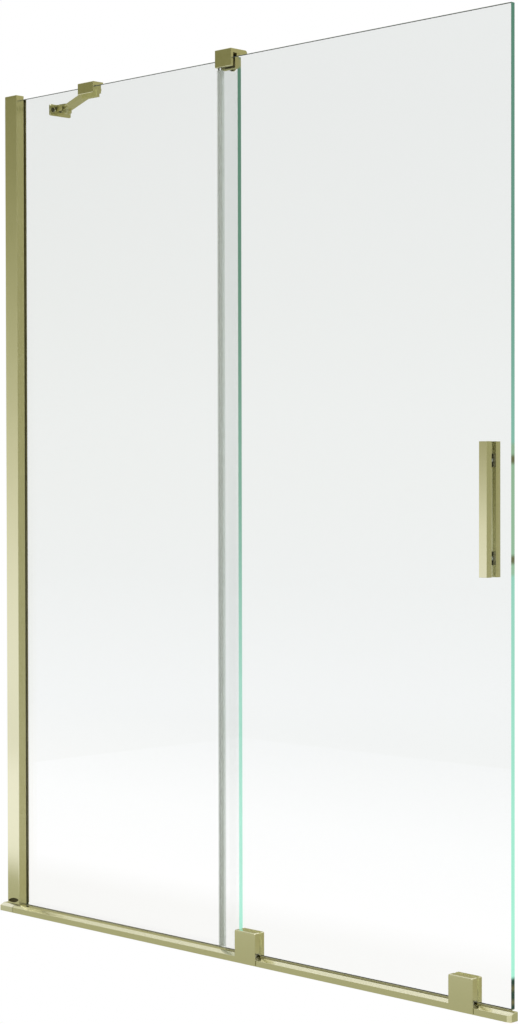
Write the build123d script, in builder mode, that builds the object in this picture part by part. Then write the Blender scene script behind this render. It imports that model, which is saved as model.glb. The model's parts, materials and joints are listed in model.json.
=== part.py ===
from build123d import *
import os
from math import atan2, degrees, hypot

# Sliding bath screen, extended: a fixed pane in a wall profile and a second
# pane that rolls along a low rail on the bath rim.
# X runs from the wall along the rail, minus Y is the outer side, plus Y the
# bath side, Z is up from the bath rim. Millimetres.

os.makedirs("parts", exist_ok=True)
low = (Align.MIN, Align.MIN, Align.MIN)

# ---------------------------------------------------------------- dimensions
length = 1197.3            # wall to rail end
height = 1500.0            # top of the wall profile's cap

glass = 8.0
fixed_front = -2.0         # the fixed pane's front face
fixed_back = fixed_front + glass
fixed_x0, fixed_x1 = 30.5, 607.5
fixed_z0, fixed_z1 = 8.0, 1494.0
pane_front = -20.0         # the sliding pane's front face
pane_back = pane_front + glass
pane_x0, pane_x1 = 575.0, 1191.3
pane_z0, pane_z1 = 17.0, 1492.0
arris = 0.5                # ground edge of both panes

profile_x0, profile_x1 = 10.8, 43.4   # set out from the wall on its channel
profile_front = -19.5
profile_back = 10.0
profile_foot = 14.0                   # its front part stands on the rail
cap_thick = 5.0
profile_top = height - cap_thick

rail_front, rail_back = -29.5, -12.0
rail_top = 13.7
bevel_y, bevel_z = -21.5, 9.7   # where the sloping front top begins and ends
block_length = 35.3             # left end block
seam = 0.8                      # joint between the block and the rail
cap_x = 1184.0                  # where the right end cap begins

carriage_width, carriage_top = 47.3, 54.3
carriage_front, carriage_back = -31.5, -5.0
skirt = 1.5
slot_top = 20.3
carriages = {"left": 621.7, "right": 1079.6}
wheel_r, wheel_w, wheel_y = 8.0, 6.0, -16.5
wheel_z = rail_top + 0.35 + wheel_r
wheel_dx = 10.45
axle_r, running = 2.5, 0.05
bolt_dx, bolt_z, bolt_r = 11.7, 44.0, 3.0

guide_x0, guide_x1 = 575.4, 613.5
guide_front, guide_nose = -27.5, 10.6
guide_z0, guide_z1 = 1476.5, 1505.4
guide_plate = 7.0
guide_screw_x, guide_screw_z = 590.0, 1482.0

bar_x0, bar_x1 = 1142.0, 1156.5
bar_z0, bar_z1 = 651.0, 852.0
bar_depth, pad_thick = 12.0, 2.6
stud_x = (bar_x0 + bar_x1) / 2
stud_z = (679.0, 824.0)
stud_r = 3.0

clamp_x0, clamp_x1 = 200.7, 242.6
clamp_front, clamp_back = -6.4, 13.0
clamp_z0, clamp_z1 = 1482.0, 1501.4
arm_p0 = (222.0, 22.5)     # pivot at the clamp
arm_p1 = (22.0, 123.0)     # pivot at the wall
arm_z0, arm_z1 = 1490.0, 1498.0
arm_half = 9.0
ear_gap = 0.4
pin_r = 3.0
foot_y0, foot_y1 = 98.0, 148.0
foot_z0, foot_z1 = 1481.0, 1502.0
foot_holes = 37.0

wall_hole_z = (150.0, 747.5, 1345.0)
wall_hole_r = 2.75
lock_x, lock_z = 34.0, (120.0, 747.0, 1375.0)


# ------------------------------------------------------------ wall profile
# Outer channel, screwed to the wall. Its back face is the mounting face, and
# the inner channel's pocket slides between its two flanges.
with BuildPart() as wall_profile:
    with BuildSketch(Plane.XY):
        with Locations((0, -6.2)):
            Rectangle(2.0, profile_back + 6.2, align=(Align.MIN, Align.MIN))
            Rectangle(38.0, 1.7, align=(Align.MIN, Align.MIN))
        with Locations((0, profile_back - 1.7)):
            Rectangle(38.0, 1.7, align=(Align.MIN, Align.MIN))
    extrude(amount=profile_top)
    for z in wall_hole_z:
        with Locations(Plane(origin=(2.0, 1.0, z), z_dir=(1, 0, 0))):
            CounterSinkHole(wall_hole_r, 4.6, 6.0, 90)
    for z in lock_z:
        with Locations(Plane(origin=(lock_x, profile_back, z), z_dir=(0, 1, 0))):
            Hole(2.0, 1.7)
wall_profile.part.label = "wall_profile"
export_step(wall_profile.part, "parts/wall_profile.step")

# Inner channel: a wide front chamber and, at its rear, the pane's pocket.
with BuildPart() as glass_profile:
    with BuildSketch(Plane.XY):
        # front wall, end wall, pocket front, web and pocket back
        for x, y, dx, dy in (
            (profile_x0, profile_front, profile_x1 - profile_x0, 2.0),
            (profile_x1 - 1.6, profile_front, 1.6, -2.6 - profile_front),
            (27.0, -4.1, profile_x1 - 27.0, 1.5),
            (27.0, -4.1, 2.0, 12.1),
            (27.0, 6.8, profile_x1 - 0.8 - 27.0, 1.2),
        ):
            with Locations((x, y)):
                Rectangle(dx, dy, align=(Align.MIN, Align.MIN))
        fillet(vertices().group_by(Axis.X)[-1].sort_by(Axis.Y)[0], 1.2)
    extrude(amount=profile_top)
    with Locations((0.0, profile_front - 5.0, -1.0)):
        Box(50.0, -11.7 - profile_front + 5.0, profile_foot + 1.0, align=low,
            mode=Mode.SUBTRACT)
    # eye-shaped opening at the foot of the front wall
    with BuildSketch(Plane.XZ.offset(-profile_front - 2.5)):
        with BuildLine():
            Polyline(
                (11.6, 18.8), (15.5, 17.0), (21.0, 16.3), (27.0, 16.4),
                (33.5, 17.6), (38.5, 19.8), (42.2, 22.7), (38.5, 24.3),
                (33.0, 25.0), (27.0, 24.8), (20.5, 23.4), (15.0, 21.0),
                (11.6, 18.8),
            )
        make_face()
    extrude(amount=4.0, mode=Mode.SUBTRACT)
    for z in lock_z:
        with Locations(Plane(origin=(lock_x, 8.0, z), z_dir=(0, 1, 0))):
            Hole(2.0, 1.2)
glass_profile.part.label = "glass_profile"
export_step(glass_profile.part, "parts/glass_profile.step")

# Cap plate with a peg that drops into the front chamber.
with BuildPart() as profile_cap:
    with Locations((profile_x0, profile_front, profile_top)):
        Box(profile_x1 - profile_x0, -2.2 - profile_front, cap_thick, align=low)
    chamfer(profile_cap.edges().group_by(Axis.Z)[-1], 0.6)
    with Locations((27.0, -17.0, profile_top - 15.0)):
        Box(14.0, 9.0, 15.0, align=low)
profile_cap.part.label = "profile_cap"
export_step(profile_cap.part, "parts/profile_cap.step")

# Dark plug in the chamber behind the foot opening.
with BuildPart() as foot_plug:
    with Locations((profile_x0 + 0.4, -17.3, profile_foot + 0.2)):
        Box(30.4, 8.5, 17.0, align=low)
    with Locations((profile_x0 + 3.4, -14.3, profile_foot + 3.2)):
        Box(24.4, 8.5, 17.0, align=low, mode=Mode.SUBTRACT)
foot_plug.part.label = "profile_foot_plug"
export_step(foot_plug.part, "parts/profile_foot_plug.step")

# Two flexible gaskets that grip the fixed pane in its pocket. The rear one
# also covers the end of the pocket's rear wall.
with BuildPart() as profile_gaskets:
    with BuildSketch(Plane.XY.offset(16.0)):
        with BuildLine():
            Polyline((29.4, -2.6), (43.2, -2.6), (42.4, -2.0), (30.6, -2.0),
                     (29.4, -2.6))
        make_face()
        with BuildLine():
            Polyline((29.4, 6.0), (42.8, 6.0), (43.2, 6.4), (43.2, 8.0),
                     (42.6, 8.0), (42.6, 6.8), (29.4, 6.8), (29.4, 6.0))
        make_face()
    extrude(amount=profile_top - 17.0)
profile_gaskets.part.label = "profile_gaskets"
export_step(profile_gaskets.part, "parts/profile_gaskets.step")

# Three side screws that lock the inner channel to the outer one.
with BuildPart() as adjusting_screws:
    for z in lock_z:
        with Locations((lock_x, 8.55, z)):
            Cylinder(2.0, 3.3, rotation=(90, 0, 0))
        with Locations((lock_x, profile_back + 0.9, z)):
            Cylinder(3.6, 1.8, rotation=(90, 0, 0))
        with Locations((lock_x, profile_back + 1.5, z)):
            Box(3.6, 1.0, 0.9, mode=Mode.SUBTRACT)
            Box(0.9, 1.0, 3.6, mode=Mode.SUBTRACT)
adjusting_screws.part.label = "adjusting_screws"
export_step(adjusting_screws.part, "parts/adjusting_screws.step")

# -------------------------------------------------------------- fixed pane
with BuildPart() as fixed_glass:
    with Locations((fixed_x0, fixed_front, fixed_z0)):
        Box(fixed_x1 - fixed_x0, glass, fixed_z1 - fixed_z0, align=low)
    chamfer(
        fixed_glass.faces().sort_by(Axis.X)[-1].edges()
        + fixed_glass.faces().sort_by(Axis.Z)[-1].edges().filter_by(Axis.X),
        arris,
    )
    with Locations(
        Plane(origin=(guide_screw_x, fixed_front, guide_screw_z), z_dir=(0, -1, 0))
    ):
        Hole(5.0, glass)
fixed_glass.part.label = "fixed_glass"
export_step(fixed_glass.part, "parts/fixed_glass.step")

with BuildPart() as setting_block:
    with Locations((31.0, fixed_front, 0.0)):
        Box(12.0, glass, fixed_z0, align=low)
setting_block.part.label = "setting_block"
export_step(setting_block.part, "parts/setting_block.step")

# Clear seal under the fixed pane: a U over its edge and two lips on the rim.
with BuildPart() as fixed_seal:
    with BuildSketch(Plane.YZ.offset(44.0)):
        with BuildLine():
            Polyline(
                (fixed_front - 1, 12.0), (fixed_front - 1, 5.5),
                (fixed_front - 1, 0.0), (fixed_front, 0.0), (fixed_front, 5.5),
                (fixed_back, 5.5), (fixed_back, 0.0), (fixed_back + 1, 0.0),
                (fixed_back + 1, 12.0), (fixed_back, 12.0),
                (fixed_back, fixed_z0), (fixed_front, fixed_z0),
                (fixed_front, 12.0), (fixed_front - 1, 12.0),
            )
        make_face()
    extrude(amount=fixed_x1 - 44.0)
fixed_seal.part.label = "fixed_pane_seal"
export_step(fixed_seal.part, "parts/fixed_pane_seal.step")

# -------------------------------------------------------------------- rail
rail_outline = [
    (rail_front, 0.0), (rail_back, 0.0), (rail_back, rail_top),
    (bevel_y, rail_top), (rail_front, bevel_z), (rail_front, 0.0),
]
rail_y = (rail_front + rail_back) / 2

with BuildPart() as bottom_rail:
    with BuildSketch(Plane.YZ.offset(block_length + seam)):
        with BuildLine():
            Polyline(*rail_outline)
        make_face()
        # the hollow core
        with Locations((rail_y, 5.6)):
            Rectangle(13.5, 6.4, mode=Mode.SUBTRACT)
        # two grooves underneath for the sealing strips
        with Locations((-26.0, 0.0), (-15.5, 0.0)):
            Rectangle(3.4, 2.0, mode=Mode.SUBTRACT)
    extrude(amount=cap_x - block_length - seam)
    fillet(
        bottom_rail.edges().filter_by(Axis.X).filter_by_position(Axis.Z, 9.5, 14.0)
        .filter_by_position(Axis.Y, -30.0, -21.0),
        0.6,
    )
bottom_rail.part.label = "bottom_rail"
export_step(bottom_rail.part, "parts/bottom_rail.step")

with BuildPart() as rail_block:
    with BuildSketch(Plane.YZ):
        with BuildLine():
            Polyline(*rail_outline)
        make_face()
    extrude(amount=block_length)
    chamfer(rail_block.faces().sort_by(Axis.X)[0].edges(), 0.6)
    with Locations((block_length, rail_y - 6.5, 2.7)):
        Box(20.0, 13.0, 5.8, align=low)
rail_block.part.label = "rail_end_block"
export_step(rail_block.part, "parts/rail_end_block.step")

# The right cap's front turns back in a shallow bevel like the rail's top.
with BuildPart() as rail_cap:
    with BuildSketch(Plane.YZ.offset(cap_x)):
        with BuildLine():
            Polyline(*rail_outline)
        make_face()
    extrude(amount=length - cap_x)
    with BuildSketch(Plane.XY):
        with BuildLine():
            Polyline((1190.0, -30.5), (1201.0, -30.5), (1201.0, -26.6),
                     (1197.3, -27.2), (1194.0, -28.4), (1190.0, -29.5),
                     (1190.0, -30.5))
        make_face()
    extrude(amount=20.0, mode=Mode.SUBTRACT)
    chamfer(rail_cap.faces().sort_by(Axis.X)[-1].edges(), 0.5)
    with Locations((cap_x - 20.0, rail_y - 6.5, 2.7)):
        Box(20.0, 13.0, 5.8, align=low)
rail_cap.part.label = "rail_end_cap"
export_step(rail_cap.part, "parts/rail_end_cap.step")

with BuildPart() as rail_strips:
    with Locations((block_length + seam, -27.6, 0.0), (block_length + seam, -17.1, 0.0)):
        Box(cap_x - block_length - seam, 3.2, 1.0, align=low)
rail_strips.part.label = "rail_seal_strips"
export_step(rail_strips.part, "parts/rail_seal_strips.step")

# End stops clipped behind the rail, where the carriages' rear skirts pass.
with BuildPart() as rail_stops:
    for x in (89.0, 1127.6):
        with Locations((x, rail_back, 3.0)):
            Box(12.0, 4.0, 8.0, align=low)
    fillet(rail_stops.edges().filter_by(Axis.Z).group_by(Axis.Y)[-1], 1.2)
rail_stops.part.label = "rail_stops"
export_step(rail_stops.part, "parts/rail_stops.step")

# --------------------------------------------------------------- top guide
plate_z = guide_z1 - guide_plate
with BuildPart() as guide_body:
    # top plate over both panes
    with Locations((guide_x0, guide_front, plate_z)):
        Box(guide_x1 - guide_x0, guide_nose - guide_front, guide_plate, align=low)
    # front leg
    with Locations((guide_x0, guide_front, guide_z0)):
        Box(guide_x1 - guide_x0, 5.3, plate_z - guide_z0, align=low)
    # middle jaw between the panes
    with Locations((guide_x0 + 1.5, -10.8, guide_z0 - 2.5)):
        Box(guide_x1 - guide_x0 - 4.5, 8.0, plate_z - guide_z0 + 2.5, align=low)
    fillet(guide_body.edges().filter_by(Axis.X).group_by(Axis.Y)[-1]
           .sort_by(Axis.Z)[-1], 4.5)
    fillet(guide_body.edges().filter_by(Axis.X).group_by(Axis.Y)[-1]
           .sort_by(Axis.Z)[0], 1.0)
    fillet(
        guide_body.edges().filter_by(Axis.Z).filter_by_position(Axis.Y, -28.0, -27.0),
        0.8,
    )
    fillet(
        guide_body.edges().filter_by(Axis.X).filter_by_position(Axis.Y, -28.0, -27.0),
        0.6,
    )
    # threaded hole for the through-glass screw
    with Locations(
        Plane(origin=(guide_screw_x, -2.8, guide_screw_z), z_dir=(0, 1, 0))
    ):
        Hole(3.0, 6.5)
guide_body.part.label = "guide_body"
export_step(guide_body.part, "parts/guide_body.step")

# Slippery liner in the slot that the sliding pane runs through.
with BuildPart() as guide_liner:
    with BuildSketch(Plane.YZ.offset(guide_x0 + 1.0)):
        with BuildLine():
            Polyline((-22.2, 1478.0), (-20.5, 1478.0), (-20.5, 1496.8),
                     (-11.5, 1496.8), (-11.5, 1478.0), (-10.8, 1478.0),
                     (-10.8, plate_z), (-22.2, plate_z), (-22.2, 1478.0))
        make_face()
    extrude(amount=guide_x1 - guide_x0 - 5.0)
guide_liner.part.label = "guide_liner"
export_step(guide_liner.part, "parts/guide_liner.step")

with BuildPart() as guide_pads:
    with Locations((guide_x0 + 2.0, -2.8, guide_z0 - 2.0)):
        Box(guide_x1 - guide_x0 - 6.0, 0.8, 18.0, align=low)
    with Locations((guide_screw_x, fixed_back + 0.4, guide_screw_z)):
        Cylinder(9.0, 0.8, rotation=(90, 0, 0))
    with Locations((guide_screw_x, 0, guide_screw_z)):
        Cylinder(3.1, 40.0, rotation=(90, 0, 0), mode=Mode.SUBTRACT)
guide_pads.part.label = "guide_pads"
export_step(guide_pads.part, "parts/guide_pads.step")

# Round clamp plate behind the fixed pane.
with BuildPart() as guide_disc:
    with BuildSketch(Plane.XZ.offset(-(fixed_back + 0.8))):
        with Locations((guide_screw_x, guide_screw_z)):
            Circle(9.0)
    extrude(amount=-3.0)
    chamfer(guide_disc.edges().group_by(Axis.Y)[-1], 0.6)
    with Locations(
        Plane(origin=(guide_screw_x, fixed_back + 3.8, guide_screw_z), z_dir=(0, 1, 0))
    ):
        CounterSinkHole(3.1, 5.6, 3.0, 90)
guide_disc.part.label = "guide_clamp_disc"
export_step(guide_disc.part, "parts/guide_clamp_disc.step")

with BuildPart() as guide_screw:
    with BuildSketch(Plane.YZ.offset(guide_screw_x)):
        with BuildLine():
            Polyline((-8.8, guide_screw_z), (-8.8, guide_screw_z + 3.0),
                     (7.25, guide_screw_z + 3.0), (9.6, guide_screw_z + 5.35),
                     (9.6, guide_screw_z), (-8.8, guide_screw_z))
        make_face()
    revolve(axis=Axis((guide_screw_x, 0, guide_screw_z), (0, 1, 0)))
    with BuildSketch(Plane.XZ.offset(-9.6)):
        with Locations((guide_screw_x, guide_screw_z)):
            RegularPolygon(2.0, 6)
    extrude(amount=2.2, mode=Mode.SUBTRACT)
guide_screw.part.label = "guide_screw"
export_step(guide_screw.part, "parts/guide_screw.step")

# ------------------------------------------------------------- brace clamp
ear_low = (arm_z0 - ear_gap - 4.2, arm_z0 - ear_gap)
ear_high = (arm_z1 + ear_gap, clamp_z1)
with BuildPart() as clamp_body:
    with BuildSketch(Plane.YZ.offset(clamp_x0)):
        with BuildLine():
            Polyline(
                (clamp_front, clamp_z0), (fixed_front - 0.8, clamp_z0),
                (fixed_front - 0.8, 1495.0), (fixed_back + 1.0, 1495.0),
                (fixed_back + 1.0, 1475.0), (clamp_back, 1475.0),
                (clamp_back, clamp_z1), (clamp_front, clamp_z1),
                (clamp_front, clamp_z0),
            )
        make_face()
    extrude(amount=clamp_x1 - clamp_x0)
    fillet(clamp_body.edges().filter_by(Axis.X).group_by(Axis.Y)[-1]
           .sort_by(Axis.Z)[-1], 2.5)
    chamfer(clamp_body.edges().group_by(Axis.Y)[0], 0.6)
    # two ears that carry the arm's pivot
    for z0, z1 in (ear_low, ear_high):
        with BuildSketch(Plane.XY.offset(z0)):
            with Locations(arm_p0):
                Circle(arm_half)
            with Locations((clamp_x0, clamp_back - 4.0)):
                Rectangle(clamp_x1 - clamp_x0, 8.5, align=(Align.MIN, Align.MIN))
        extrude(amount=z1 - z0)
    with Locations((arm_p0[0], arm_p0[1], 1490.0)):
        Cylinder(pin_r, 40.0, mode=Mode.SUBTRACT)
    for x in (209.0, 235.0):
        with Locations(Plane(origin=(x, clamp_back, 1479.5), z_dir=(0, 1, 0))):
            Hole(2.5, 6.0)
clamp_body.part.label = "brace_clamp"
export_step(clamp_body.part, "parts/brace_clamp.step")

with BuildPart() as clamp_pads:
    with Locations((clamp_x0 + 1.0, fixed_front - 0.8, clamp_z0 + 1.0)):
        Box(clamp_x1 - clamp_x0 - 2.0, 0.8, 11.0, align=low)
    with Locations((clamp_x0 + 1.0, fixed_back, 1476.0)):
        Box(clamp_x1 - clamp_x0 - 2.0, 1.0, 17.0, align=low)
clamp_pads.part.label = "brace_clamp_pads"
export_step(clamp_pads.part, "parts/brace_clamp_pads.step")

with BuildPart() as clamp_screws:
    for x in (209.0, 235.0):
        with Locations((x, fixed_back + 1.0 + 2.75, 1479.5)):
            Cylinder(2.5, 5.5, rotation=(90, 0, 0))
        with BuildSketch(Plane.XZ.offset(-(fixed_back + 6.5))):
            with Locations((x, 1479.5)):
                RegularPolygon(1.4, 6)
        extrude(amount=2.0, mode=Mode.SUBTRACT)
clamp_screws.part.label = "brace_clamp_screws"
export_step(clamp_screws.part, "parts/brace_clamp_screws.step")

with BuildPart() as clamp_pin:
    with Locations((arm_p0[0], arm_p0[1], ear_low[0])):
        Cylinder(pin_r, clamp_z1 - 0.3 - ear_low[0],
                 align=(Align.CENTER, Align.CENTER, Align.MIN))
        Cylinder(5.0, 1.6, align=(Align.CENTER, Align.CENTER, Align.MAX))
    chamfer(clamp_pin.edges().group_by(Axis.Z)[0], 0.4)
clamp_pin.part.label = "brace_clamp_pin"
export_step(clamp_pin.part, "parts/brace_clamp_pin.step")

# Flat arm between the two pivots.
arm_len = hypot(arm_p1[0] - arm_p0[0], arm_p1[1] - arm_p0[1])
arm_angle = degrees(atan2(arm_p1[1] - arm_p0[1], arm_p1[0] - arm_p0[0]))
with BuildPart() as brace_arm:
    with BuildSketch(Plane.XY.offset(arm_z0)):
        with Locations(((arm_p0[0] + arm_p1[0]) / 2, (arm_p0[1] + arm_p1[1]) / 2)):
            SlotCenterToCenter(arm_len, 2 * arm_half, rotation=arm_angle)
    extrude(amount=arm_z1 - arm_z0)
    chamfer(brace_arm.edges().group_by(Axis.Z)[-1]
            + brace_arm.edges().group_by(Axis.Z)[0], 0.8)
    for p in (arm_p0, arm_p1):
        with Locations((p[0], p[1], (arm_z0 + arm_z1) / 2)):
            Cylinder(pin_r + running, 20.0, mode=Mode.SUBTRACT)
brace_arm.part.label = "brace_arm"
export_step(brace_arm.part, "parts/brace_arm.step")

# Wall plate with the fork that takes the arm's far end.
foot_cz = (foot_z0 + foot_z1) / 2
foot_high = (arm_z1 + ear_gap, foot_z1 - 0.2)
with BuildPart() as brace_foot:
    with BuildSketch(Plane.YZ):
        with Locations(((foot_y0 + foot_y1) / 2, foot_cz)):
            RectangleRounded(foot_y1 - foot_y0, foot_z1 - foot_z0, 2.5)
    extrude(amount=4.0)
    chamfer(brace_foot.edges().group_by(Axis.X)[-1], 0.6)
    for z0, z1 in (ear_low, foot_high):
        with BuildSketch(Plane.XY.offset(z0)):
            with Locations(arm_p1):
                Circle(arm_half)
            with Locations((3.0, arm_p1[1] - arm_half)):
                Rectangle(arm_p1[0] - 3.0, 2 * arm_half, align=(Align.MIN, Align.MIN))
        extrude(amount=z1 - z0)
    with Locations((arm_p1[0], arm_p1[1], foot_cz)):
        Cylinder(pin_r, 40.0, mode=Mode.SUBTRACT)
    for y in (arm_p1[1] - foot_holes / 2, arm_p1[1] + foot_holes / 2):
        with Locations(Plane(origin=(4.0, y, foot_cz), z_dir=(1, 0, 0))):
            CounterSinkHole(2.6, 4.8, 6.0, 90)
brace_foot.part.label = "brace_foot"
export_step(brace_foot.part, "parts/brace_foot.step")

with BuildPart() as foot_pin:
    with Locations((arm_p1[0], arm_p1[1], ear_low[0])):
        Cylinder(pin_r, foot_high[1] - 0.3 - ear_low[0],
                 align=(Align.CENTER, Align.CENTER, Align.MIN))
        Cylinder(5.0, 1.6, align=(Align.CENTER, Align.CENTER, Align.MAX))
    chamfer(foot_pin.edges().group_by(Axis.Z)[0], 0.4)
foot_pin.part.label = "brace_foot_pin"
export_step(foot_pin.part, "parts/brace_foot_pin.step")

# ------------------------------------------------------------ sliding pane
with BuildPart() as sliding_glass:
    with Locations((pane_x0, pane_front, pane_z0)):
        Box(pane_x1 - pane_x0, glass, pane_z1 - pane_z0, align=low)
    chamfer(
        sliding_glass.faces().sort_by(Axis.X)[-1].edges()
        + sliding_glass.faces().sort_by(Axis.Z)[-1].edges().filter_by(Axis.X),
        arris,
    )
    # notches that let the wheels reach the rail, and the clamp bolts' holes
    for x in carriages.values():
        with Locations((x + 4.8, pane_front - 1.0, pane_z0 - 1.0)):
            Box(carriage_width - 9.6, glass + 2.0, 17.5, align=low, mode=Mode.SUBTRACT)
        mid = x + carriage_width / 2
        for hx in (mid - bolt_dx, mid + bolt_dx):
            with Locations(Plane(origin=(hx, pane_front, bolt_z), z_dir=(0, -1, 0))):
                Hole(4.5, glass)
    for z in stud_z:
        with Locations(Plane(origin=(stud_x, pane_front, z), z_dir=(0, -1, 0))):
            Hole(4.0, glass)
sliding_glass.part.label = "sliding_glass"
export_step(sliding_glass.part, "parts/sliding_glass.step")

# Clear seal on the pane's left end, with a lip towards the fixed pane.
with BuildPart() as overlap_seal:
    with BuildSketch(Plane.XY.offset(18.0)):
        with BuildLine():
            Polyline(
                (573.5, pane_front - 0.9), (585.0, pane_front - 0.9),
                (585.0, pane_front), (pane_x0, pane_front), (pane_x0, pane_back),
                (585.0, pane_back), (585.0, pane_back + 0.9),
                (575.2, pane_back + 0.9), (574.9, -2.8), (574.0, -2.8),
                (573.5, pane_back + 0.9), (573.5, pane_front - 0.9),
            )
        make_face()
    extrude(amount=1473.6 - 18.0)
overlap_seal.part.label = "overlap_seal"
export_step(overlap_seal.part, "parts/overlap_seal.step")

# Clear wiper strip under the pane, cut away at the carriages.
with BuildPart() as wiper_strip:
    left_end = carriages["left"] + carriage_width
    right_end = carriages["right"] + carriage_width
    for x0, x1 in ((586.0, carriages["left"] - 1.0),
                   (left_end + 1.0, carriages["right"] - 1.0),
                   (right_end + 1.0, pane_x1 - 1.0)):
        with BuildSketch(Plane.YZ.offset(x0)):
            with BuildLine():
                Polyline(
                    (pane_front, pane_z0), (pane_front, 16.0),
                    (-17.0, 16.0), (-17.0, 14.3), (-16.2, 14.3), (-16.2, 16.0),
                    (pane_back, 16.0), (pane_back, pane_z0),
                    (pane_front, pane_z0),
                )
            make_face()
        extrude(amount=x1 - x0)
wiper_strip.part.label = "bottom_wiper"
export_step(wiper_strip.part, "parts/bottom_wiper.step")

# --------------------------------------------------------------- carriages
for side, x0 in carriages.items():
    mid = x0 + carriage_width / 2
    bolts_x = (mid - bolt_dx, mid + bolt_dx)
    wheels_x = (mid - wheel_dx, mid + wheel_dx)

    # front housing with a thin skirt down the rail's front
    with BuildPart() as housing:
        with Locations((x0, carriage_front, 1.0)):
            Box(carriage_width, pane_front - 0.5 - carriage_front,
                carriage_top - 1.0, align=low)
        fillet(housing.edges().filter_by(Axis.Y).group_by(Axis.Z)[-1], 2.6)
        outer = housing.faces().sort_by(Axis.Y)[0].edges()
        fillet(outer - outer.group_by(Axis.Z)[0], 1.2)
        with Locations((x0 - 1.0, carriage_front + skirt, 0.0)):
            Box(carriage_width + 2.0, 20.0, slot_top, align=low, mode=Mode.SUBTRACT)
        with Locations((x0 + 5.0, -29.9, slot_top - 1.0)):
            Box(carriage_width - 10.0, 7.9, 2.5, align=low, mode=Mode.SUBTRACT)
        for hx in bolts_x:
            with Locations(
                Plane(origin=(hx, pane_front - 0.5, bolt_z), z_dir=(0, 1, 0))
            ):
                Hole(bolt_r, 7.0)
        for hx in wheels_x:
            with Locations(
                Plane(origin=(hx, pane_front - 0.5, wheel_z), z_dir=(0, 1, 0))
            ):
                Hole(axle_r, 7.0)
    housing.part.label = f"{side}_carriage_housing"
    export_step(housing.part, f"parts/{side}_carriage_housing.step")

    # back plate with its skirt behind the rail
    with BuildPart() as back_plate:
        with Locations((x0, pane_back + 0.5, 3.0)):
            Box(carriage_width, carriage_back - pane_back - 0.5,
                carriage_top - 3.0, align=low)
        fillet(back_plate.edges().filter_by(Axis.Y).group_by(Axis.Z)[-1], 2.6)
        outer = back_plate.faces().sort_by(Axis.Y)[-1].edges()
        fillet(outer - outer.group_by(Axis.Z)[0], 1.2)
        for hx in bolts_x:
            with Locations(Plane(origin=(hx, carriage_back, bolt_z), z_dir=(0, 1, 0))):
                CounterBoreHole(bolt_r + 0.2, 5.4, 3.2, 8.0)
        for hx in wheels_x:
            with Locations(
                Plane(origin=(hx, pane_back + 0.5, wheel_z), z_dir=(0, -1, 0))
            ):
                Hole(axle_r, 4.0)
    back_plate.part.label = f"{side}_carriage_back"
    export_step(back_plate.part, f"parts/{side}_carriage_back.step")

    # thin gaskets on both faces of the pane
    with BuildPart() as gaskets:
        with Locations((x0 + 5.0, pane_front - 0.5, 34.5),
                       (x0 + 5.0, pane_back, 34.5)):
            Box(carriage_width - 10.0, 0.5, 16.0, align=low)
        for hx in bolts_x:
            with Locations((hx, (pane_front + pane_back) / 2, bolt_z)):
                Cylinder(bolt_r + 0.2, 20.0, rotation=(90, 0, 0), mode=Mode.SUBTRACT)
    gaskets.part.label = f"{side}_carriage_gaskets"
    export_step(gaskets.part, f"parts/{side}_carriage_gaskets.step")

    # two clamp bolts, heads sunk in the back plate
    with BuildPart() as bolts:
        for hx in bolts_x:
            with Locations((hx, (-27.0 - 8.2) / 2, bolt_z)):
                Cylinder(bolt_r, 27.0 - 8.2, rotation=(90, 0, 0))
            with Locations((hx, -8.2 + 1.4, bolt_z)):
                Cylinder(5.1, 2.8, rotation=(90, 0, 0))
            with BuildSketch(Plane.XZ.offset(5.4)):
                with Locations((hx, bolt_z)):
                    RegularPolygon(2.2, 6)
            extrude(amount=2.0, mode=Mode.SUBTRACT)
    bolts.part.label = f"{side}_carriage_bolts"
    export_step(bolts.part, f"parts/{side}_carriage_bolts.step")

    # glide block that follows the rail's sloping front
    with BuildPart() as glide:
        with BuildSketch(Plane.YZ.offset(x0 + 5.0)):
            with BuildLine():
                Polyline((-29.9, 10.3), (-22.0, 14.25), (-22.0, 21.8),
                         (-29.9, 21.8), (-29.9, 10.3))
            make_face()
        extrude(amount=carriage_width - 10.0)
        for hx in wheels_x:
            with Locations((hx, -24.0, wheel_z)):
                Cylinder(axle_r, 14.0, rotation=(90, 0, 0), mode=Mode.SUBTRACT)
    glide.part.label = f"{side}_carriage_glide"
    export_step(glide.part, f"parts/{side}_carriage_glide.step")

    # two axles held in the housing and the back plate
    with BuildPart() as axles:
        for hx in wheels_x:
            with Locations((hx, (-27.3 - 7.7) / 2, wheel_z)):
                Cylinder(axle_r, 27.3 - 7.7, rotation=(90, 0, 0))
            with Locations((hx, -13.1, wheel_z), (hx, -19.6, wheel_z)):
                Cylinder(3.4, 1.6, rotation=(90, 0, 0))
    axles.part.label = f"{side}_axles"
    export_step(axles.part, f"parts/{side}_axles.step")

    for n, hx in enumerate(wheels_x, 1):
        y0, y1 = wheel_y - wheel_w / 2, wheel_y + wheel_w / 2
        with BuildPart() as wheel:
            with BuildSketch(Plane.YZ.offset(hx)):
                with BuildLine():
                    Polyline(
                        (y0, wheel_z + 4.7), (y0, wheel_z + wheel_r - 0.6),
                        (y0 + 0.6, wheel_z + wheel_r),
                        (y1 - 0.6, wheel_z + wheel_r),
                        (y1, wheel_z + wheel_r - 0.6), (y1, wheel_z + 5.5),
                        (y0 + 1.0, wheel_z + 5.5), (y0 + 1.0, wheel_z + 4.7),
                        (y0, wheel_z + 4.7),
                    )
                make_face()
            revolve(axis=Axis((hx, 0, wheel_z), (0, 1, 0)))
        wheel.part.label = f"{side}_wheel_{n}"
        export_step(wheel.part, f"parts/{side}_wheel_{n}.step")

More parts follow.
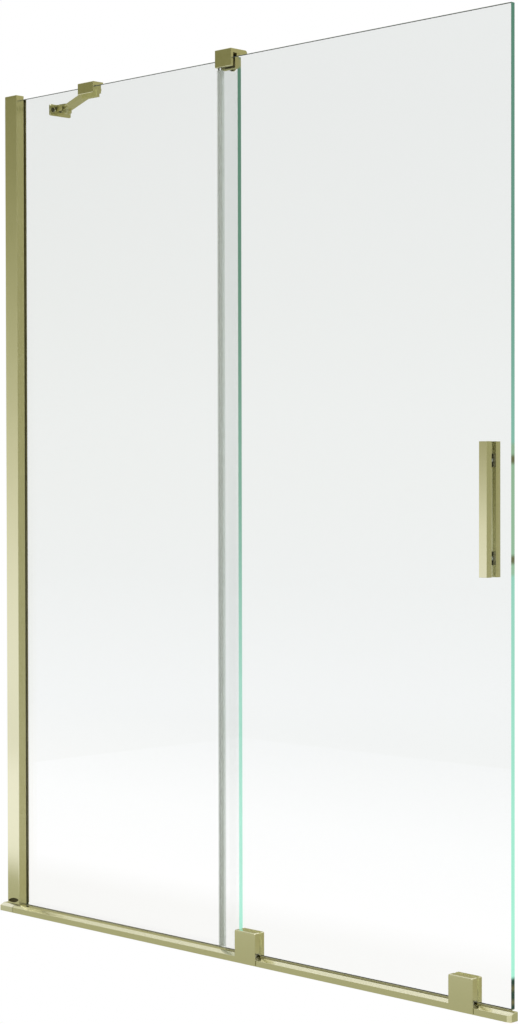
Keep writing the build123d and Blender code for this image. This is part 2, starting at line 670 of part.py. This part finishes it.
        with BuildPart() as bearing:
            with BuildSketch(Plane.YZ.offset(hx)):
                with BuildLine():
                    Polyline(
                        (y0 + 1.0, wheel_z + axle_r + running),
                        (y0 + 1.0, wheel_z + 3.4), (y0 + 1.3, wheel_z + 3.7),
                        (y0 + 1.3, wheel_z + 4.4), (y0 + 1.0, wheel_z + 4.7),
                        (y0 + 1.0, wheel_z + 5.5), (y0 + 5.0, wheel_z + 5.5),
                        (y0 + 5.0, wheel_z + 4.7), (y0 + 4.7, wheel_z + 4.4),
                        (y0 + 4.7, wheel_z + 3.7), (y0 + 5.0, wheel_z + 3.4),
                        (y0 + 5.0, wheel_z + axle_r + running),
                        (y0 + 1.0, wheel_z + axle_r + running),
                    )
                make_face()
            revolve(axis=Axis((hx, 0, wheel_z), (0, 1, 0)))
        bearing.part.label = f"{side}_bearing_{n}"
        export_step(bearing.part, f"parts/{side}_bearing_{n}.step")

# ------------------------------------------------------------------ handle
outer_y0 = pane_front - pad_thick - bar_depth
inner_y0 = pane_back + pad_thick
inner_depth = 11.0
with BuildPart() as outer_bar:
    with Locations((bar_x0, outer_y0, bar_z0)):
        Box(bar_x1 - bar_x0, bar_depth, bar_z1 - bar_z0, align=low)
    fillet(outer_bar.edges().group_by(Axis.Y)[0], 0.7)
    for z in stud_z:
        with Locations(
            Plane(origin=(stud_x, outer_y0 + bar_depth, z), z_dir=(0, 1, 0))
        ):
            Hole(stud_r, 8.0)
outer_bar.part.label = "outer_handle_bar"
export_step(outer_bar.part, "parts/outer_handle_bar.step")

with BuildPart() as inner_bar:
    with Locations((bar_x0, inner_y0, bar_z0)):
        Box(bar_x1 - bar_x0, inner_depth, bar_z1 - bar_z0, align=low)
    fillet(inner_bar.edges().group_by(Axis.Y)[-1], 0.7)
    for z in stud_z:
        with Locations(Plane(origin=(stud_x, inner_y0, z), z_dir=(0, -1, 0))):
            Hole(stud_r, 7.0)
inner_bar.part.label = "inner_handle_bar"
export_step(inner_bar.part, "parts/inner_handle_bar.step")

with BuildPart() as handle_pads:
    for z in stud_z:
        for y in (pane_front - pad_thick / 2, pane_back + pad_thick / 2):
            with Locations((stud_x, y, z)):
                Box(9.5, pad_thick, 20.0)
        with Locations((stud_x, (pane_front + pane_back) / 2, z)):
            Cylinder(stud_r, 40.0, rotation=(90, 0, 0), mode=Mode.SUBTRACT)
handle_pads.part.label = "handle_pads"
export_step(handle_pads.part, "parts/handle_pads.step")

with BuildPart() as handle_sleeves:
    for z in stud_z:
        with Locations((stud_x, (pane_front + pane_back) / 2, z)):
            Cylinder(4.0, glass, rotation=(90, 0, 0))
            Cylinder(stud_r, 40.0, rotation=(90, 0, 0), mode=Mode.SUBTRACT)
handle_sleeves.part.label = "handle_sleeves"
export_step(handle_sleeves.part, "parts/handle_sleeves.step")

with BuildPart() as handle_studs:
    stud_y0 = outer_y0 + bar_depth - 7.5
    stud_y1 = inner_y0 + 6.5
    for z in stud_z:
        with Locations((stud_x, (stud_y0 + stud_y1) / 2, z)):
            Cylinder(stud_r, stud_y1 - stud_y0, rotation=(90, 0, 0))
handle_studs.part.label = "handle_studs"
export_step(handle_studs.part, "parts/handle_studs.step")
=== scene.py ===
import json
import math

import bmesh
import bpy
from mathutils import Matrix, Vector


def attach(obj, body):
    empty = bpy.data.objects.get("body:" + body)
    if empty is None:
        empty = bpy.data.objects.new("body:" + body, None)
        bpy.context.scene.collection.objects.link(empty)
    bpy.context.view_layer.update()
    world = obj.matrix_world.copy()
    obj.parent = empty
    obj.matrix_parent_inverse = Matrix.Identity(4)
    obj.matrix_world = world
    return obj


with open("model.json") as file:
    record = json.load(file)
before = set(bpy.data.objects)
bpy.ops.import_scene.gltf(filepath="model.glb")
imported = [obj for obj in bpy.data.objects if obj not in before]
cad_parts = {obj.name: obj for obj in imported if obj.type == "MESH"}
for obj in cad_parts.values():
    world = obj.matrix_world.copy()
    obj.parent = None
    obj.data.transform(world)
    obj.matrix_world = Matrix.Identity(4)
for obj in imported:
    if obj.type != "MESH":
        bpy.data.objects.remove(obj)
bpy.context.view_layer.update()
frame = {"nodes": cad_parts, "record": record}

MM = 0.001
nodes = frame["nodes"]
scene = bpy.context.scene


# ------------------------------------------------------------------ camera
def make_camera():
    az, pitch, roll = math.radians(44.962), math.radians(0.898), -0.0019
    fw = Vector((-math.sin(az) * math.cos(pitch), math.cos(az) * math.cos(pitch), -math.sin(pitch)))
    right = Vector((math.cos(az), math.sin(az), 0.0))
    up = right.cross(fw)
    r = math.cos(roll) * right + math.sin(roll) * up
    u = -math.sin(roll) * right + math.cos(roll) * up
    data = bpy.data.cameras.new("camera")
    data.sensor_fit = "AUTO"
    data.sensor_width = 36.0
    data.lens = 2182.43 / 1024.0 * 36.0
    data.clip_start, data.clip_end = 0.05, 100.0
    cam = bpy.data.objects.new("camera", data)
    m = Matrix.Identity(4)
    for i in range(3):
        m[i][0], m[i][1], m[i][2] = r[i], u[i], -fw[i]
        m[i][3] = (3.18574, -2.53965, 0.79879)[i]
    cam.matrix_world = m
    scene.collection.objects.link(cam)
    scene.camera = cam


make_camera()


# ------------------------------------------------------------ node helpers
class Nodes:
    """A material's or world's node tree, with short calls for what is used here."""

    def __init__(self, owner):
        owner.use_nodes = True
        self.nt = owner.node_tree
        self.nt.nodes.clear()

    def add(self, kind, **props):
        n = self.nt.nodes.new(kind)
        for k, v in props.items():
            setattr(n, k, v)
        return n

    def link(self, a, b):
        self.nt.links.new(a, b)

    def put(self, socket, value):
        if isinstance(value, bpy.types.NodeSocket):
            self.link(value, socket)
        else:
            socket.default_value = value

    def math(self, op, a, b=0.0, clamp=False):
        n = self.add("ShaderNodeMath", operation=op, use_clamp=clamp)
        self.put(n.inputs[0], a)
        self.put(n.inputs[1], b)
        return n.outputs[0]

    def mix(self, fac, a, b, blend="MIX"):
        n = self.add("ShaderNodeMix", data_type="RGBA", blend_type=blend)
        self.put(n.inputs["Factor"], fac)
        self.put(n.inputs[6], a)
        self.put(n.inputs[7], b)
        return n.outputs[2]

    def ramp(self, fac, stops, interpolation="LINEAR"):
        n = self.add("ShaderNodeValToRGB")
        n.color_ramp.interpolation = interpolation
        el = n.color_ramp.elements
        while len(el) > 1:
            el.remove(el[-1])
        for i, (pos, col) in enumerate(stops):
            e = el[0] if i == 0 else el.new(pos)
            e.position = pos
            e.color = (*col, 1.0) if len(col) == 3 else col
        self.put(n.inputs["Fac"], fac)
        return n.outputs["Color"]

    def object_xyz(self):
        tc = self.add("ShaderNodeTexCoord")
        sep = self.add("ShaderNodeSeparateXYZ")
        self.link(tc.outputs["Object"], sep.inputs[0])
        return tc.outputs["Object"], sep.outputs

    def stretched(self, vector, scale):
        m = self.add("ShaderNodeMapping")
        m.inputs["Scale"].default_value = scale
        self.link(vector, m.inputs["Vector"])
        return m.outputs["Vector"]

    def noise(self, vector, scale, detail=2.0, rough=0.5):
        n = self.add("ShaderNodeTexNoise")
        n.inputs["Scale"].default_value = scale
        n.inputs["Detail"].default_value = detail
        n.inputs["Roughness"].default_value = rough
        self.link(vector, n.inputs["Vector"])
        return n.outputs["Fac"]

    def bump(self, height, strength, distance):
        b = self.add("ShaderNodeBump")
        b.inputs["Strength"].default_value = strength
        b.inputs["Distance"].default_value = distance
        self.link(height, b.inputs["Height"])
        return b.outputs["Normal"]


def principled(t, **values):
    p = t.add("ShaderNodeBsdfPrincipled")
    for k, v in values.items():
        t.put(p.inputs[k.replace("_", " ")], v)
    return p


def surface(t, shader):
    out = t.add("ShaderNodeOutputMaterial")
    t.link(shader, out.inputs["Surface"])
    return out


# --------------------------------------------------------------- materials
def gold(name, stops, span=(0.0, 1.5), rough=0.15, grain=(60.0, 60.0, 900.0), tone=0.06):
    """Champagne gold: base colour by height (painted light and shade where the stops differ), fine drawn grain, faint
    clouding.
    """
    m = bpy.data.materials.new(name)
    t = Nodes(m)
    vec, xyz = t.object_xyz()
    h = t.add("ShaderNodeMapRange")
    h.inputs["From Min"].default_value, h.inputs["From Max"].default_value = span
    t.link(xyz["Z"], h.inputs["Value"])
    base = t.ramp(h.outputs["Result"], stops)
    fine = t.noise(t.stretched(vec, grain), 1.0, 3.0, 0.6)
    cloud = t.noise(vec, 14.0, 3.0, 0.55)
    shade = t.math("ADD", t.math("MULTIPLY", t.math("SUBTRACT", fine, 0.5), tone), 1.0)
    shade = t.math("ADD", shade, t.math("MULTIPLY", t.math("SUBTRACT", cloud, 0.5), 0.05))
    comb = t.add("ShaderNodeCombineXYZ")
    for i in range(3):
        t.link(shade, comb.inputs[i])
    col = t.mix(1.0, base, comb.outputs[0], "MULTIPLY")
    r = t.math("ADD", t.math("MULTIPLY", fine, 0.06), rough - 0.03)
    r = t.math("ADD", r, t.math("MULTIPLY", cloud, 0.04))
    p = principled(t, Base_Color=col, Metallic=1.0, Roughness=r)
    t.link(t.bump(fine, 0.06, 0.0001), p.inputs["Normal"])
    surface(t, p.outputs[0])
    return m


def plain(name, dark, light, rough=0.45, scale=90.0, bump=0.15, dist=0.0002, spec=0.5, metallic=0.0, stretch=(1, 1, 1)):
    """Moulded plastic, rubber or bare metal: two-tone mottling, grain and bump."""
    m = bpy.data.materials.new(name)
    t = Nodes(m)
    vec, _ = t.object_xyz()
    n = t.noise(t.stretched(vec, stretch), scale, 4.0, 0.6)
    broad = t.noise(vec, scale / 12.0, 2.0)
    f = t.math("ADD", t.math("MULTIPLY", n, 0.6), t.math("MULTIPLY", broad, 0.4))
    col = t.ramp(f, [(0.3, dark), (0.7, light)])
    r = t.math("ADD", t.math("MULTIPLY", n, 0.16), rough - 0.08)
    p = principled(t, Base_Color=col, Metallic=metallic, Roughness=r)
    p.inputs["Specular IOR Level"].default_value = spec
    t.link(t.bump(n, bump, dist), p.inputs["Normal"])
    surface(t, p.outputs[0])
    return m


def glass_face(name):
    """Clear glass. Lamps reach what is behind it through the transparent branch."""
    m = bpy.data.materials.new(name)
    t = Nodes(m)
    vec, xyz = t.object_xyz()
    h = t.math("DIVIDE", xyz["Z"], 1.5)
    # tint by height with painted light and shade: fully clear at the foot, greyer higher up
    tint = t.ramp(
        h,
        [
            (0.00, (1.0, 1.0, 1.0)),
            (0.08, (1.0, 1.0, 1.0)),
            (0.16, (0.975, 0.985, 0.982)),
            (0.26, (0.900, 0.917, 0.915)),
            (0.42, (0.862, 0.882, 0.880)),
            (0.60, (0.880, 0.900, 0.902)),
            (1.00, (0.880, 0.900, 0.902)),
        ],
    )
    faint = t.noise(vec, 3.0, 2.0)
    r = t.math("MULTIPLY", faint, 0.004)
    p = principled(t, Base_Color=tint, Roughness=r)
    p.inputs["IOR"].default_value = 1.5
    p.inputs["Transmission Weight"].default_value = 1.0
    clear = t.add("ShaderNodeBsdfTransparent")
    clear.inputs["Color"].default_value = (0.92, 0.94, 0.93, 1.0)
    path = t.add("ShaderNodeLightPath")
    mix = t.add("ShaderNodeMixShader")
    t.link(path.outputs["Is Shadow Ray"], mix.inputs["Fac"])
    t.link(p.outputs[0], mix.inputs[1])
    t.link(clear.outputs[0], mix.inputs[2])
    surface(t, mix.outputs[0])
    return m


def glass_edge(name, stops, bands=()):
    """The ground edge of a pane: green, with a painted glow that is brighter towards the foot."""
    m = bpy.data.materials.new(name)
    t = Nodes(m)
    vec, xyz = t.object_xyz()
    h = t.math("DIVIDE", xyz["Z"], 1.5)
    col = t.ramp(h, stops)
    if bands:
        # reflections of the fittings in the ground edge: gold patches and dark ends
        for z0, z1, tone, amount in bands:
            up = t.add("ShaderNodeMapRange", interpolation_type="SMOOTHSTEP")
            up.inputs["From Min"].default_value = z0 - 0.004
            up.inputs["From Max"].default_value = z0 + 0.004
            t.link(xyz["Z"], up.inputs["Value"])
            dn = t.add("ShaderNodeMapRange", interpolation_type="SMOOTHSTEP")
            dn.inputs["From Min"].default_value = z1 + 0.004
            dn.inputs["From Max"].default_value = z1 - 0.004
            t.link(xyz["Z"], dn.inputs["Value"])
            f = t.math("MULTIPLY", up.outputs["Result"], dn.outputs["Result"])
            col = t.mix(t.math("MULTIPLY", f, amount), col, (*tone, 1.0))
    streak = t.noise(t.stretched(vec, (300.0, 300.0, 9.0)), 1.0, 3.0)
    shade = t.math("ADD", t.math("MULTIPLY", streak, 0.16), 0.92)
    comb = t.add("ShaderNodeCombineXYZ")
    for i in range(3):
        t.link(shade, comb.inputs[i])
    col = t.mix(1.0, col, comb.outputs[0], "MULTIPLY")
    half = t.mix(1.0, col, (0.35, 0.35, 0.35, 1.0), "MULTIPLY")
    r = t.math("ADD", t.math("MULTIPLY", streak, 0.1), 0.12)
    # painted light: the edge glows with its own colour
    p = principled(t, Base_Color=half, Roughness=r, Emission_Color=col)
    p.inputs["Emission Strength"].default_value = 0.8
    p.inputs["Specular IOR Level"].default_value = 0.3
    surface(t, p.outputs[0])
    return m


def clear_vinyl(name, tint=(0.80, 0.82, 0.815), milk=0.35, rough=0.12):
    """Flexible clear seal: part transparent, part milky, glossy skin."""
    m = bpy.data.materials.new(name)
    t = Nodes(m)
    vec, _ = t.object_xyz()
    n = t.noise(t.stretched(vec, (60.0, 60.0, 6.0)), 1.0, 3.0)
    col = t.ramp(n, [(0.3, tuple(c * 0.94 for c in tint)), (0.7, tint)])
    r = t.math("ADD", t.math("MULTIPLY", n, 0.1), rough)
    body = principled(t, Base_Color=col, Roughness=r)
    body.inputs["IOR"].default_value = 1.45
    clear = t.add("ShaderNodeBsdfTransparent")
    clear.inputs["Color"].default_value = (*tint, 1.0)
    mix = t.add("ShaderNodeMixShader")
    mix.inputs["Fac"].default_value = milk
    t.link(clear.outputs[0], mix.inputs[1])
    t.link(body.outputs[0], mix.inputs[2])
    surface(t, mix.outputs[0])
    return m


F0 = (0.80, 0.78, 0.58)


def lit(r, g, b):
    return (F0[0] * r, F0[1] * g, F0[2] * b)


M = {}
M["profile"] = gold("gold_profile", [(0.0, F0), (1.0, F0)])
M["rail"] = gold("gold_rail", [(0.0, F0), (1.0, F0)], grain=(900.0, 60.0, 60.0))
M["fitting"] = gold("gold_fitting", [(0.0, F0), (1.0, F0)], rough=0.12, grain=(120.0, 120.0, 120.0), tone=0.03)
# painted shade: this gold darkens towards the top of the handle bar
M["handle"] = gold(
    "gold_handle_painted_shade",
    [(0.0, lit(1.0, 1.0, 1.02)), (0.35, lit(1.0, 1.0, 1.0)), (1.0, lit(0.66, 0.65, 0.55))],
    span=(0.651, 0.852),
    rough=0.12,
)
# painted highlight: the end block is a brighter gold than the rail, lighter still towards its top
M["block"] = gold(
    "gold_block_painted_highlight", [(0.0, (0.93, 0.92, 0.80)), (1.0, (0.97, 0.96, 0.86))],
    span=(0.0, 0.014), grain=(900.0, 60.0, 60.0),
)
M["seal_strip"] = clear_vinyl("overlap_vinyl", (0.86, 0.875, 0.87), 0.22, 0.1)
M["edge_grey"] = plain("covered_glass_edge", (0.30, 0.31, 0.305), (0.38, 0.39, 0.385), 0.3)
M["rim_seal"] = plain("rim_seal", (0.42, 0.41, 0.30), (0.52, 0.51, 0.38), 0.35)
# painted shade: the profile's gaskets are a dark olive, the colour of gold in shade inside the pocket
M["pocket"] = plain("pocket_gasket_painted_shade", (0.120, 0.102, 0.034), (0.175, 0.150, 0.055), 0.5)
M["liner"] = plain("guide_liner_dark", (0.070, 0.056, 0.012), (0.115, 0.095, 0.026), 0.45)
M["plug"] = plain("foot_plug_dark", (0.030, 0.023, 0.003), (0.055, 0.043, 0.007), 0.5)
M["pad_tone"] = plain("handle_pad_rubber", (0.17, 0.155, 0.09), (0.25, 0.23, 0.14), 0.5)
M["glass"] = glass_face("clear_glass")
M["edge_right"] = glass_edge(
    "glass_edge_outer",
    [
        (0.00, (0.38, 0.88, 0.70)),
        (0.10, (0.38, 0.87, 0.69)),
        (0.40, (0.30, 0.64, 0.53)),
        (0.70, (0.145, 0.33, 0.27)),
        (1.00, (0.078, 0.205, 0.152)),
    ],
    bands=(
        (0.655, 0.848, (0.30, 0.36, 0.16), 0.45),
        (0.672, 0.684, (0.10, 0.09, 0.03), 0.85),
        (0.819, 0.831, (0.10, 0.09, 0.03), 0.85),
        (0.010, 0.063, (0.008, 0.028, 0.022), 0.97),
        (0.024, 0.031, (0.17, 0.15, 0.07), 0.8),
        (0.044, 0.052, (0.15, 0.14, 0.06), 0.7),
    ),
)
M["edge_fixed"] = glass_edge(
    "glass_edge_inner",
    [
        (0.0, (0.40, 0.88, 0.76)),
        (0.08, (0.38, 0.84, 0.70)),
        (0.30, (0.33, 0.70, 0.58)),
        (0.5, (0.19, 0.44, 0.35)),
        (0.70, (0.11, 0.28, 0.215)),
        (1.0, (0.085, 0.225, 0.17)),
    ],
    bands=((1.477, 1.492, (0.36, 0.33, 0.15), 0.85),),
)
# top and bottom edges look through the sheet's whole width: nearly black
M["edge_dark"] = glass_edge(
    "glass_edge_long", [(0.0, (0.03, 0.045, 0.04)), (1.0, (0.045, 0.055, 0.052))]
)
M["vinyl"] = clear_vinyl("clear_vinyl")
M["dark"] = plain("dark_plastic", (0.012, 0.012, 0.010), (0.03, 0.03, 0.026), 0.5)
M["gasket"] = plain("grey_gasket", (0.10, 0.105, 0.10), (0.17, 0.175, 0.17), 0.6)
M["nylon"] = plain("white_nylon", (0.62, 0.62, 0.60), (0.78, 0.78, 0.75), 0.4)
M["steel"] = plain("steel", (0.45, 0.45, 0.45), (0.66, 0.66, 0.66), 0.25, 120.0, 0.08, 0.0001, 0.5, 1.0, (1, 6, 1))

BY_SLOT = {
    "gold_profile": "profile",
    "gold_fitting": "fitting",
    "clear_glass": "glass",
    "clear_seal": "vinyl",
    "dark_plastic": "dark",
    "grey_gasket": "gasket",
    "white_nylon": "nylon",
    "steel": "steel",
}
slots = {s["node"]: s["material_slot"] for s in frame["record"]["subparts"]}
for n, o in nodes.items():
    o.data.materials.clear()
    o.data.materials.append(M[BY_SLOT[slots[n]]])
for n in ("bottom_rail", "rail_end_block", "rail_end_cap"):
    nodes[n].data.materials[0] = M["rail"]
# the front and back faces of the handle bars take the gold with painted shade
for n in ("outer_handle_bar", "inner_handle_bar"):
    o = nodes[n]
    o.data.materials.append(M["handle"])
    for poly in o.data.polygons:
        poly.material_index = 1 if abs(poly.normal.y) > 0.5 else 0
# rail_end_block takes the gold with a painted highlight, profile_gaskets the dark olive of painted shade
for n, key in (
    ("rail_end_block", "block"),
    ("guide_liner", "liner"),
    ("profile_foot_plug", "plug"),
    ("overlap_seal", "seal_strip"),
    ("fixed_pane_seal", "rim_seal"),
    ("bottom_wiper", "rim_seal"),
    ("profile_gaskets", "pocket"),
    ("handle_pads", "pad_tone"),
):
    nodes[n].data.materials[0] = M[key]


def inner_gold(name, dark, light, glow):
    """Gold with a painted glow, standing in for the light on faces lit mostly through a pane or off the rim."""
    m = bpy.data.materials.new(name)
    t = Nodes(m)
    vec, _ = t.object_xyz()
    n = t.noise(t.stretched(vec, (80.0, 80.0, 300.0)), 1.0, 3.0)
    col = t.ramp(n, [(0.3, dark), (0.7, light)])
    r = t.math("ADD", t.math("MULTIPLY", n, 0.1), 0.35)
    p = principled(t, Base_Color=col, Roughness=r, Emission_Color=col)
    p.inputs["Emission Strength"].default_value = glow
    t.link(t.bump(n, 0.06, 0.0001), p.inputs["Normal"])
    surface(t, p.outputs[0])
    return m


# The faces that press on the glass are lit only through it; a darker gold with a painted glow stands in for that light.
M["inner"] = inner_gold("gold_inner_painted_glow", (0.31, 0.30, 0.13), (0.36, 0.35, 0.16), 0.6)
M["bevel_glow"] = inner_gold("gold_end_bevel_painted_highlight", (0.50, 0.48, 0.31), (0.56, 0.54, 0.36), 0.42)
for side in ("left", "right"):
    for part, sign in (("housing", 1.0), ("back", -1.0)):
        o = nodes[f"{side}_carriage_{part}"]
        o.data.materials.append(M["inner"])
        for poly in o.data.polygons:
            if poly.normal.y * sign > 0.9 and poly.center.z > 0.0205:
                poly.material_index = 1
    nodes[f"{side}_carriage_gaskets"].data.materials[0] = M["inner"]

nodes["brace_clamp_pads"].data.materials[0] = M["inner"]
o = nodes["brace_clamp"]
o.data.materials.append(M["inner"])
for poly in o.data.polygons:
    if abs(poly.normal.y) > 0.9 and -0.004 < poly.center.y < 0.0085:
        poly.material_index = 1

# The right end cap's front bends back and catches the light; a glowing gold paints that highlight.
o = nodes["rail_end_cap"]
o.data.materials.append(M["bevel_glow"])
for poly in o.data.polygons:
    if poly.normal.y < -0.3 and 0.12 < poly.normal.x < 0.95:
        poly.material_index = 1

# The panes' edges are green with a painted glow, their faces clear.
for n, edge in (("sliding_glass", "edge_right"), ("fixed_glass", "edge_fixed")):
    o = nodes[n]
    o.data.materials.append(M[edge])
    o.data.materials.append(M["edge_dark"])
    o.data.materials.append(M["edge_grey"])
    o.data.materials.append(M["rim_seal"])
    for poly in o.data.polygons:
        if abs(poly.normal.y) > 0.9:
            poly.material_index = 0
        else:
            poly.material_index = 2 if abs(poly.normal.z) > 0.6 else 1
            if poly.normal.x < -0.6:
                poly.material_index = 3 if n == "sliding_glass" else 2
            if poly.normal.z < -0.6:
                poly.material_index = 4


# ------------------------------------------------------- small added pieces
def socket_screw(name, x0, y, z, body):
    """A countersunk wall screw with a six-sided socket, its axis along X."""
    n = 48
    bm = bmesh.new()

    def ring(x, r, sides=n):
        out = []
        for i in range(n):
            a = 2.0 * math.pi * i / n
            rr = r
            if sides == 6:
                k = (a % (math.pi / 3.0)) - math.pi / 6.0
                rr = r * math.cos(math.pi / 6.0) / math.cos(k)
            out.append(bm.verts.new(((x0 + x) * MM, (y + rr * math.cos(a)) * MM, (z + rr * math.sin(a)) * MM)))
        return out

    rows = [
        ring(0.3, 2.2),
        ring(1.5, 2.3),
        ring(1.75, 2.42),
        ring(3.6, 4.3),
        ring(3.8, 4.42),
        ring(3.88, 4.2),
        ring(3.88, 2.3, 6),
        ring(3.78, 2.15, 6),
        ring(2.2, 2.1, 6),
    ]
    for a, b in zip(rows, rows[1:]):
        for i in range(n):
            j = (i + 1) % n
            bm.faces.new((a[i], a[j], b[j], b[i]))
    for r, flip in ((rows[0], True), (rows[-1], False)):
        bm.faces.new(list(reversed(r)) if flip else r)
    bmesh.ops.recalc_face_normals(bm, faces=bm.faces)
    me = bpy.data.meshes.new(name)
    bm.to_mesh(me)
    bm.free()
    me.materials.append(M["screw_dark"])
    o = bpy.data.objects.new(name, me)
    scene.collection.objects.link(o)
    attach(o, body)
    return o


M["screw_dark"] = plain("blackened_screw", (0.02, 0.018, 0.012), (0.05, 0.045, 0.03), 0.4, 200.0, 0.1, 0.0001)
for i, dy in enumerate((-18.5, 18.5)):
    socket_screw(f"brace_wall_screw_{i + 1}", 0.0, 123.0 + dy, 1491.5, "brace_foot_body")


# ------------------------------------------------------------ world, stage
def straight_view(t):
    """1 for what is looked at directly or through glass, 0 in any reflection."""
    path = t.add("ShaderNodeLightPath")
    bounced = t.math("ADD", path.outputs["Glossy Depth"], path.outputs["Diffuse Depth"])
    clean = t.math("LESS_THAN", bounced, 0.5)
    through = t.math("MULTIPLY", path.outputs["Is Transmission Ray"], clean)
    return t.math("MAXIMUM", path.outputs["Is Camera Ray"], through)


def make_world():
    w = bpy.data.worlds.new("studio")
    scene.world = w
    t = Nodes(w)
    tc = t.add("ShaderNodeTexCoord")
    sep = t.add("ShaderNodeSeparateXYZ")
    t.link(tc.outputs["Generated"], sep.inputs[0])
    # what metal and glass reflect: a bright band low down, dim above it, a lit ceiling
    f = t.math("MULTIPLY", t.math("ADD", sep.outputs["Z"], 1.0), 0.5)
    studio = t.ramp(
        f,
        [
            (0.35, (0.47, 0.47, 0.32)),
            (0.415, (0.48, 0.48, 0.33)),
            (0.45, (0.98, 0.985, 0.99)),
            (0.475, (0.90, 0.90, 0.85)),
            (0.497, (0.72, 0.715, 0.58)),
            (0.54, (0.405, 0.405, 0.24)),
            (0.585, (0.205, 0.20, 0.085)),
            (0.66, (0.30, 0.30, 0.19)),
            (0.76, (0.80, 0.82, 0.75)),
            (0.90, (0.95, 0.95, 0.93)),
        ],
    )
    # behind the screen the studio is one even olive grey up to its ceiling
    back = t.ramp(
        f,
        [
            (0.45, (0.40, 0.385, 0.215)),
            (0.66, (0.40, 0.385, 0.215)),
            (0.76, (0.62, 0.61, 0.47)),
            (0.90, (0.95, 0.95, 0.93)),
        ],
    )
    rear = t.add("ShaderNodeMapRange", interpolation_type="SMOOTHSTEP")
    rear.inputs["From Min"].default_value = -0.12
    rear.inputs["From Max"].default_value = 0.12
    t.link(sep.outputs["Y"], rear.inputs["Value"])
    studio = t.mix(rear.outputs["Result"], studio, back)
    seen = straight_view(t)
    bg_studio = t.add("ShaderNodeBackground")
    t.link(studio, bg_studio.inputs["Color"])
    bg_studio.inputs["Strength"].default_value = 1.07
    bg_white = t.add("ShaderNodeBackground")
    bg_white.inputs["Color"].default_value = (1.0, 1.0, 1.0, 1.0)
    mix = t.add("ShaderNodeMixShader")
    t.link(seen, mix.inputs["Fac"])
    t.link(bg_studio.outputs[0], mix.inputs[1])
    t.link(bg_white.outputs[0], mix.inputs[2])
    out = t.add("ShaderNodeOutputWorld")
    t.link(mix.outputs[0], out.inputs["Surface"])


make_world()


def make_floor():
    """A pale sweep: white to the eye, a soft grey in reflections."""
    me = bpy.data.meshes.new("floor")
    bm = bmesh.new()
    s = 2.2
    vs = [bm.verts.new((x + 0.6, y, -0.0006)) for x, y in ((-s, -s), (s, -s), (s, s), (-s, s))]
    bm.faces.new(vs)
    bm.to_mesh(me)
    bm.free()
    o = bpy.data.objects.new("floor", me)
    scene.collection.objects.link(o)
    m = bpy.data.materials.new("pale_floor")
    t = Nodes(m)
    seen = straight_view(t)
    vec, xyz = t.object_xyz()
    # how far in front of the screen a point of the floor lies
    far = t.math("ADD", t.math("MULTIPLY", xyz["Y"], -1.0), 0.1, clamp=True)
    tone = t.ramp(
        far,
        [
            (0.0, (0.40, 0.385, 0.215)),
            (0.08, (0.44, 0.44, 0.29)),
            (0.34, (0.48, 0.48, 0.33)),
            (0.52, (0.98, 0.985, 0.96)),
            (1.0, (1.0, 1.0, 1.0)),
        ],
    )
    a = t.add("ShaderNodeEmission")
    t.link(tone, a.inputs["Color"])
    a.inputs["Strength"].default_value = 1.05
    b = t.add("ShaderNodeEmission")
    b.inputs["Color"].default_value = (1.0, 1.0, 1.0, 1.0)
    mix = t.add("ShaderNodeMixShader")
    t.link(seen, mix.inputs["Fac"])
    t.link(a.outputs[0], mix.inputs[1])
    t.link(b.outputs[0], mix.inputs[2])
    surface(t, mix.outputs[0])
    me.materials.append(m)


make_floor()


def area(name, at, to, size, watts, colour=(1.0, 1.0, 1.0)):
    d = bpy.data.lights.new(name, "AREA")
    d.shape = "RECTANGLE"
    d.size, d.size_y = size
    d.energy = watts
    d.color = colour
    o = bpy.data.objects.new(name, d)
    o.location = at
    o.rotation_mode = "QUATERNION"
    o.rotation_quaternion = (Vector(to) - Vector(at)).to_track_quat("-Z", "Y")
    scene.collection.objects.link(o)
    o.visible_camera = False
    o.visible_transmission = False
    return o


area("key", (2.2, -2.8, 3.4), (0.6, 0.0, 0.7), (1.6, 1.6), 40.0)

scene.view_settings.view_transform = "Standard"
scene.view_settings.look = "None"
scene.view_settings.exposure = 0.0
scene.view_settings.gamma = 1.0

bpy.context.view_layer.update()
